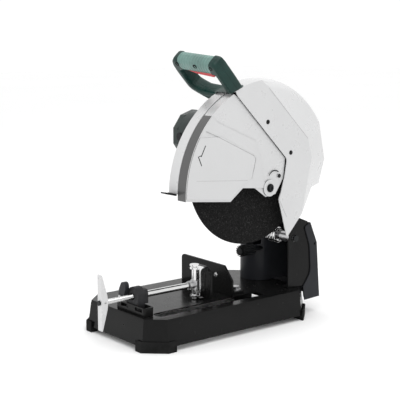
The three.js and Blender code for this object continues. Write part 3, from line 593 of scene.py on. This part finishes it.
# ---- lower guard ---------------------------------------------------------------------------------
# painted shade: a dark grey for strokes that stand in for the shade along the rear cover's pressed creases
CREASE = lacquer("shaded_crease", grey(0.22), 0.5)
# painted shade: a grey darker than the lacquer for strokes that stand in for the shade along the guard's
# panel edges
PAINTED_SOFT_CREASE_SHADE = lacquer("painted_soft_crease_shade", grey(0.36), 0.5)


def on_guard(y, z):
    """A point on the guard's outer face, given by its distance from the guard's pivot in millimetres."""
    return Vector((cad_box["blade_guard"][1].x, GUARD.y + y * MM, GUARD.z + z * MM))


STROKE_LIFT = 0.00012
STROKE_ROOT = 0.0002


def stroke(bm, points, width):
    """A thin raised bar along a line of points on a sheet's right face, with rounded ends."""
    half = width / 2
    for a, b in zip(points, points[1:]):
        along = (b - a).normalized()
        side = RIGHT.cross(along) * half
        tip = along * half * 0.7
        slim = side * 0.4
        outline = [a + side, a - tip + slim, a - tip - slim, a - side,
                   b - side, b + tip - slim, b + tip + slim, b + side]
        skin_rings(bm, [[p - RIGHT * STROKE_ROOT for p in outline],
                        [p + RIGHT * STROKE_LIFT for p in outline]])


def guard_marks():
    """The turning-direction mark, and the curved slot by the pivot with its hole."""
    bm = bmesh.new()
    stroke(bm, [on_guard(-194, 112), on_guard(-206, 89)], 0.0022)
    stroke(bm, [on_guard(-214, 89), on_guard(-205, 69)], 0.0022)
    stroke(bm, [on_guard(-214, 89), on_guard(-207, 91)], 0.0016)
    arc = [on_guard(14 + 20 * math.cos(t), 20 + 20 * math.sin(t))
           for t in (math.radians(150 - 12 * k) for k in range(9))]
    stroke(bm, arc, 0.0024)
    turned(bm, on_guard(29, 26), RIGHT, [(-0.0002, 0.0048), (0.0001, 0.0048), (0.00015, 0.0042)], 28)
    add_piece("guard_marks", bm, "dark_plastic", "lower_guard")


def guard_creases():
    """The edges of the panel pressed in the guard, drawn as thin strokes in a darker grey that paints the
    shade along them.
    """
    bm = bmesh.new()
    panel = [(-191, 143), (-159, 130), (-110, 107), (-52, 80), (-45, 72), (-50, 52), (-57, 28)]
    stroke(bm, [on_guard(y, z) for y, z in panel], 0.0013)
    stroke(bm, [on_guard(-219, 36), on_guard(-70, 24)], 0.0007)
    add_piece("guard_creases", bm, "silver_paint", "lower_guard", look=PAINTED_SOFT_CREASE_SHADE)


def on_cover(y, z):
    """A point on the rear cover's outer face, given by its distance from the guard's pivot in millimetres."""
    return Vector((cad_box["hood_rear_cover"][1].x, GUARD.y + y * MM, GUARD.z + z * MM))


def cover_creases():
    """The rear cover's pressed creases, drawn as thin strokes in a dark grey that paints the shade along
    them.
    """
    bm = bmesh.new()
    stroke(bm, [on_cover(-8, 231), on_cover(119, 108)], 0.0007)
    stroke(bm, [on_cover(30, -15), on_cover(25, -26), on_cover(52, -74)], 0.0008)
    add_piece("cover_creases", bm, "silver_paint", "head", look=CREASE)


PLUG_SPOTS = ((-11.3, 154.6), (62.7, 78.6))
PLUG = [(-0.002, 0.0040), (0.0001, 0.0040), (0.0001, 0.0054), (0.0006, 0.0052), (0.0009, 0.0044),
        (0.0005, 0.0024)]


def cover_plugs():
    """The blind plugs in the rear cover."""
    bm = bmesh.new()
    for y, z in PLUG_SPOTS:
        turned(bm, on_cover(y, z), RIGHT, PLUG, 28)
    shade(add_piece("cover_plugs", bm, "rubber", "head"))


BOLT_DEPTH = 0.0052
BOLT_WASHER = [(0, 0.0098), (0.0003, 0.01), (0.0016, 0.01), (0.0019, 0.0094)]
BOLT_HEAD = [(0, 0.0068), (0.0004, 0.0072), (0.0024, 0.0072), (0.0032, 0.0062), (0.0032, 0.0038),
             (0.0012, 0.0036), (0.0010, 0.0008)]


def guard_bolt_head():
    """The guard's pivot bolt: a socket head on a washer."""
    seat = Vector((cad_box["guard_pivot_bolt"][1].x - BOLT_DEPTH, GUARD.y, GUARD.z))
    bm = bmesh.new()
    turned(bm, seat, RIGHT, BOLT_WASHER, 40)
    turned(bm, seat + RIGHT * 0.0018, RIGHT, BOLT_HEAD, 32)
    shade(add_piece("guard_bolt_head", bm, "dark_plastic", "head", ("guard_pivot_bolt",)))


LOCK_OFF = [(0, 0.008), (0.003, 0.008), (0.003, 0.006), (0.0145, 0.006), (0.0155, 0.0052),
            (0.0150, 0.003), (0.0148, 0.001)]


def lock_off_cap():
    """The lock-off button at the back of the handle."""
    bm = bmesh.new()
    turned(bm, in_handle(96, 90, 5), GRIP_BACK, LOCK_OFF, 32)
    shade(add_piece("lock_off_cap", bm, "dark_plastic", "lock_button", ("lock_off_button",)))


def fence_face_bolt():
    """The small bolt in the fence's face."""
    bm = bmesh.new()
    hex_bolt(bm, (0.0207, cad_box["fence"][0].y, 0.1147), (0, -1, 0), 0.007, 0.003, 0.0055)
    shade(add_piece("fence_face_bolt", bm, "chrome", "fence_body"))


def guard_look():
    """The guard is pale on its faces and painted darker round its rim: the dark band is painted shade and
    reflection of dark surroundings on the rim.
    """
    look = Look("guard_lacquer", SILVER, 0.3, metallic=SILVER_METALLIC, coat=0.5, coat_roughness=0.18)
    split = look.nodes.new("ShaderNodeSeparateXYZ")
    look.links.new(look.nodes.new("ShaderNodeTexCoord").outputs["Normal"], split.inputs["Vector"])
    painted_rim_shade_mask = look.nodes.new("ShaderNodeMath")
    painted_rim_shade_mask.operation = "ABSOLUTE"
    look.links.new(split.outputs["X"], painted_rim_shade_mask.inputs[0])
    # painted shade: faces turned away from X get dark grey, standing in for the rim's shade and its
    # reflection of dark surroundings
    rim = look.ramp(painted_rim_shade_mask.outputs["Value"], [(0.25, grey(0.055)), (0.6, SILVER)])
    cloud = look.ramp(look.noise(5.0, 2.0), [(0.3, grey(0.93)), (0.7, grey(1.0))])
    mix = look.nodes.new("ShaderNodeMix")
    mix.data_type = "RGBA"
    mix.blend_type = "MULTIPLY"
    mix.inputs["Factor"].default_value = 1.0
    look.links.new(rim, mix.inputs["A"])
    look.links.new(cloud, mix.inputs["B"])
    look.links.new(mix.outputs["Result"], look.shader.inputs["Base Color"])
    look.spread(look.noise(35.0), 0.29, 0.39)
    look.bump(look.noise(900.0, 2.0), 0.00003, 0.5)
    look.bump(look.noise(14.0, 1.0), 0.00012, 0.25)
    guard = frame["nodes"]["blade_guard"]
    guard.data.materials.clear()
    guard.data.materials.append(look.material)


# ---- vise screw and spring -----------------------------------------------------------------------
THREAD_LENGTH = 0.112
THREAD_PITCH = 0.003
THREAD_CREST = 0.0059
THREAD_DEPTH = 0.0008
THREAD_SIDES = 24


def screw_thread():
    """The vise screw: a rolled thread on its front part and a plain rod behind."""
    bm = bmesh.new()
    low, high = cad_box["vise_screw"]
    thread_end = low.y + THREAD_LENGTH
    plain_r = (high.z - low.z) / 2 - 0.0001
    rings = []
    y = low.y
    while y < thread_end:
        ring = []
        for i in range(THREAD_SIDES):
            angle = 2 * math.pi * i / THREAD_SIDES
            phase = (y / THREAD_PITCH - i / THREAD_SIDES) % 1.0
            radius = THREAD_CREST - THREAD_DEPTH * abs(2 * phase - 1)
            ring.append(Vector((SCREW.x + radius * math.cos(angle), y, SCREW.z + radius * math.sin(angle))))
        rings.append(ring)
        y += THREAD_PITCH / 5
    skin_rings(bm, rings)
    rest = high.y - thread_end
    rod = [(0, 0.0055), (0.0012, plain_r), (rest - 0.009, plain_r), (rest - 0.0078, plain_r - 0.0012),
           (rest - 0.0074, 0.004), (rest - 0.0003, 0.004)]
    turned(bm, (SCREW.x, thread_end - 0.001, SCREW.z), (0, 1, 0), rod, 40)
    shade(add_piece("threaded_screw", bm, "chrome", "vise_crank", ("vise_screw",)))


SPRING_WIRE = 0.0022
SPRING_TURNS = 6
SPRING_STEPS = 28


def coil_spring():
    """The head's torsion spring: coils round the pivot shaft."""
    low, high = cad_box["return_spring"]
    r = (high.z - low.z) / 2 - SPRING_WIRE
    pitch = (high.x - low.x - 2 * SPRING_WIRE) / SPRING_TURNS
    points = []
    for i in range(SPRING_TURNS * SPRING_STEPS + 1):
        angle = 2 * math.pi * i / SPRING_STEPS
        x = low.x + SPRING_WIRE + pitch * i / SPRING_STEPS
        points.append(Vector((x, PIVOT.y + r * math.cos(angle), PIVOT.z + r * math.sin(angle))))
    bm = bmesh.new()
    tube(bm, points, SPRING_WIRE)
    shade(add_piece("coil_spring", bm, "chrome", "base", ("return_spring",)))


# ---- lock knob -----------------------------------------------------------------------------------
KNOB_RIBS = 18
KNOB_LENGTH = Vector((0, 0.016, 0))


def knob_grip():
    """Ribs moulded round the transport lock's knob."""
    low, high = cad_box["transport_lock_pin"]
    centre_x = (low.x + high.x) / 2
    centre_z = (low.z + high.z) / 2
    r = (high.z - low.z) / 2
    bm = bmesh.new()
    for k in range(KNOB_RIBS):
        t = 2 * math.pi * k / KNOB_RIBS
        out = Vector((math.cos(t), 0, math.sin(t)))
        side = Vector((-math.sin(t), 0, math.cos(t)))
        base = Vector((centre_x, low.y + 0.001, centre_z)) + out * (r - 0.0006)
        section = [side * -0.0011, side * -0.0007 + out * 0.0006, side * 0.0007 + out * 0.0006, side * 0.0011]
        skin_rings(bm, [[base + p for p in section], [base + p + KNOB_LENGTH for p in section]])
    shade(add_piece("knob_ribs", bm, "rubber", "lock_pin"))


make_camera()
make_studio()
paint_frame()
soften_frame()
handle_shell("handle_front_skin", "handle_front_shell", -1)
handle_shell("handle_rear_skin", "handle_rear_shell", 1)
grip_screws()
guard_marks()
guard_creases()
guard_look()
cover_creases()
cover_plugs()
guard_bolt_head()
lock_off_cap()
fence_face_bolt()
screw_thread()
coil_spring()
knob_grip()
